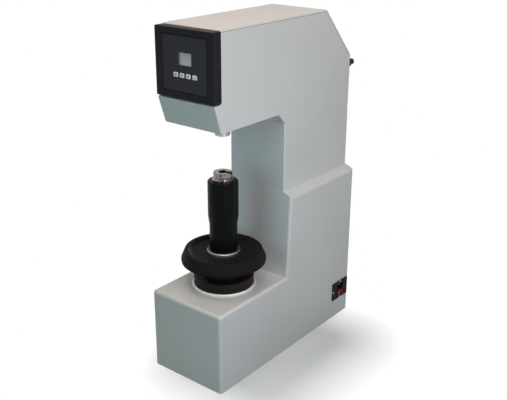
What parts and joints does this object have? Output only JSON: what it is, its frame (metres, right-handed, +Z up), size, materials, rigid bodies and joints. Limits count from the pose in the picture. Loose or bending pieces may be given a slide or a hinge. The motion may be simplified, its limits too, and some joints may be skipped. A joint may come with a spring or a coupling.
{
  "type": "hardness tester",
  "caption": "Bench hardness tester: C-shaped painted housing, handwheel and covered screw that lift an anvil seat, a motor-loaded spindle above it, display box with keys on the head.",
  "frame": {"origin": "where the test axis, the common line of the elevating screw and the spindle, meets the floor", "axes": "+Z up along the test axis; -Y is the front, with the display; +X is the right side, with the power inlet"},
  "size_m": [0.237, 0.6068, 0.897],
  "materials": {
    "panel_grey": "satin",
    "casting_grey": "rough",
    "black_paint": "satin",
    "black_plastic": "matte",
    "bright_steel": "satin",
    "chrome": "polished",
    "dark_steel": "blued",
    "bronze": "machined",
    "clear_glass": "clear",
    "display_grey": "gloss",
    "key_white": "matte",
    "rocker_red": "gloss",
    "board_green": "satin",
    "aluminium": "satin"
  },
  "bodies": {
    "housing": {"lower_housing": "panel_grey", "upper_housing": "panel_grey", "top_cover": "panel_grey", "base_plate": "dark_steel", "foot_bolts": "dark_steel", "c_frame": "casting_grey", "bearing_collar": "black_paint", "collar_screws": "bright_steel", "collar_trim": "aluminium", "lower_race": "bright_steel", "bearing_balls": "chrome", "guide_bush": "bronze", "guide_key": "bright_steel", "spindle_bush": "bronze", "lever_pin": "bright_steel", "motor_bracket": "dark_steel", "screw_bearing": "bronze", "screw_support": "casting_grey", "guide_rail": "bright_steel", "drive_motor": "dark_steel", "front_bezel": "black_plastic", "panel_plate": "black_plastic", "display_window": "clear_glass", "display_module": "display_grey", "control_board": "board_green", "board_standoffs": "aluminium", "inlet_plate": "black_plastic", "inlet_socket": "black_plastic", "inlet_contacts": "bright_steel", "inlet_screws": "bright_steel", "switch_body": "black_plastic", "power_supply": "aluminium"},
    "wheel": {"handwheel": "black_paint", "lift_nut": "bronze", "nut_screws": "bright_steel", "hub_ring": "aluminium", "upper_race": "bright_steel", "lower_sleeve": "black_paint"},
    "lift": {"elevating_screw": "bright_steel", "upper_sleeve": "black_paint", "anvil_seat": "chrome"},
    "ram": {"spindle": "chrome", "nose_screw": "dark_steel", "load_cell": "bright_steel"},
    "lever": {"load_lever": "casting_grey", "lever_bush": "bronze"},
    "push_nut": {"load_nut": "bronze"},
    "drive_screw": {"load_screw": "bright_steel", "driven_gear": "bright_steel"},
    "rotor": {"motor_shaft": "bright_steel", "motor_pinion": "bright_steel"},
    "rocker": {"power_rocker": "rocker_red"},
    "menu": {"key_menu": "key_white"},
    "up": {"key_up": "key_white"},
    "down": {"key_down": "key_white"},
    "enter": {"key_enter": "key_white"},
    "knob_left": {"cover_knob_left": "black_plastic"},
    "knob_right": {"cover_knob_right": "black_plastic"}
  },
  "joints": [
    {"name": "handwheel_turn", "type": "hinge", "parent": "housing", "child": "wheel", "pos_m": [0, 0, 0.3], "axis": [0, 0, -1], "range_deg": [-3328, 448]},
    {"name": "lift_slide", "type": "slide", "parent": "housing", "child": "lift", "axis": [0, 0, 1], "range_m": [-0.074, 0.01]},
    {"name": "load_screw_turn", "type": "hinge", "parent": "housing", "child": "drive_screw", "pos_m": [0, 0.328, 0.48], "axis": [0, 0, 1], "range_deg": [0, 995.14]},
    {"name": "nut_lift", "type": "slide", "parent": "housing", "child": "push_nut", "axis": [0, 0, 1], "range_m": [0, 0.01108]},
    {"name": "lever_tilt", "type": "hinge", "parent": "housing", "child": "lever", "pos_m": [0, 0.07, 0.8311], "axis": [1, 0, 0], "range_deg": [0, 2.46]},
    {"name": "spindle_slide", "type": "slide", "parent": "housing", "child": "ram", "axis": [0, 0, -1], "range_m": [0, 0.00301]},
    {"name": "motor_turn", "type": "hinge", "parent": "housing", "child": "rotor", "pos_m": [0, 0.38, 0.48], "axis": [0, 0, 1], "range_deg": [-2240.07, 0]},
    {"name": "rocker_turn", "type": "hinge", "parent": "housing", "child": "rocker", "pos_m": [0.114, 0.3855, 0.072], "axis": [0, 0, 1], "range_deg": [0, 16]},
    {"name": "menu_press", "type": "slide", "parent": "housing", "child": "menu", "axis": [0, 1, 0], "range_m": [0, 0.0008], "stiffness_N_per_m": 400, "springref_m": -0.0005},
    {"name": "up_press", "type": "slide", "parent": "housing", "child": "up", "axis": [0, 1, 0], "range_m": [0, 0.0008], "stiffness_N_per_m": 400, "springref_m": -0.0005},
    {"name": "down_press", "type": "slide", "parent": "housing", "child": "down", "axis": [0, 1, 0], "range_m": [0, 0.0008], "stiffness_N_per_m": 400, "springref_m": -0.0005},
    {"name": "enter_press", "type": "slide", "parent": "housing", "child": "enter", "axis": [0, 1, 0], "range_m": [0, 0.0008], "stiffness_N_per_m": 400, "springref_m": -0.0005},
    {"name": "knob_left_turn", "type": "hinge", "parent": "housing", "child": "knob_left", "pos_m": [-0.075, 0.428, 0.741], "axis": [0, 1, 0], "range_deg": [0, 90]},
    {"name": "knob_right_turn", "type": "hinge", "parent": "housing", "child": "knob_right", "pos_m": [0.075, 0.428, 0.741], "axis": [0, 1, 0], "range_deg": [0, 90]}
  ],
  "couplings": [
    {"joint": "lift_slide", "follows": "handwheel_turn", "m_per_rad": 0.0012732},
    {"joint": "nut_lift", "follows": "load_screw_turn", "m_per_rad": 0.00063662},
    {"joint": "lever_tilt", "follows": "load_screw_turn", "ratio": 0.0024683},
    {"joint": "spindle_slide", "follows": "load_screw_turn", "m_per_rad": 0.00017273},
    {"joint": "motor_turn", "follows": "load_screw_turn", "ratio": -2.25}
  ]
}
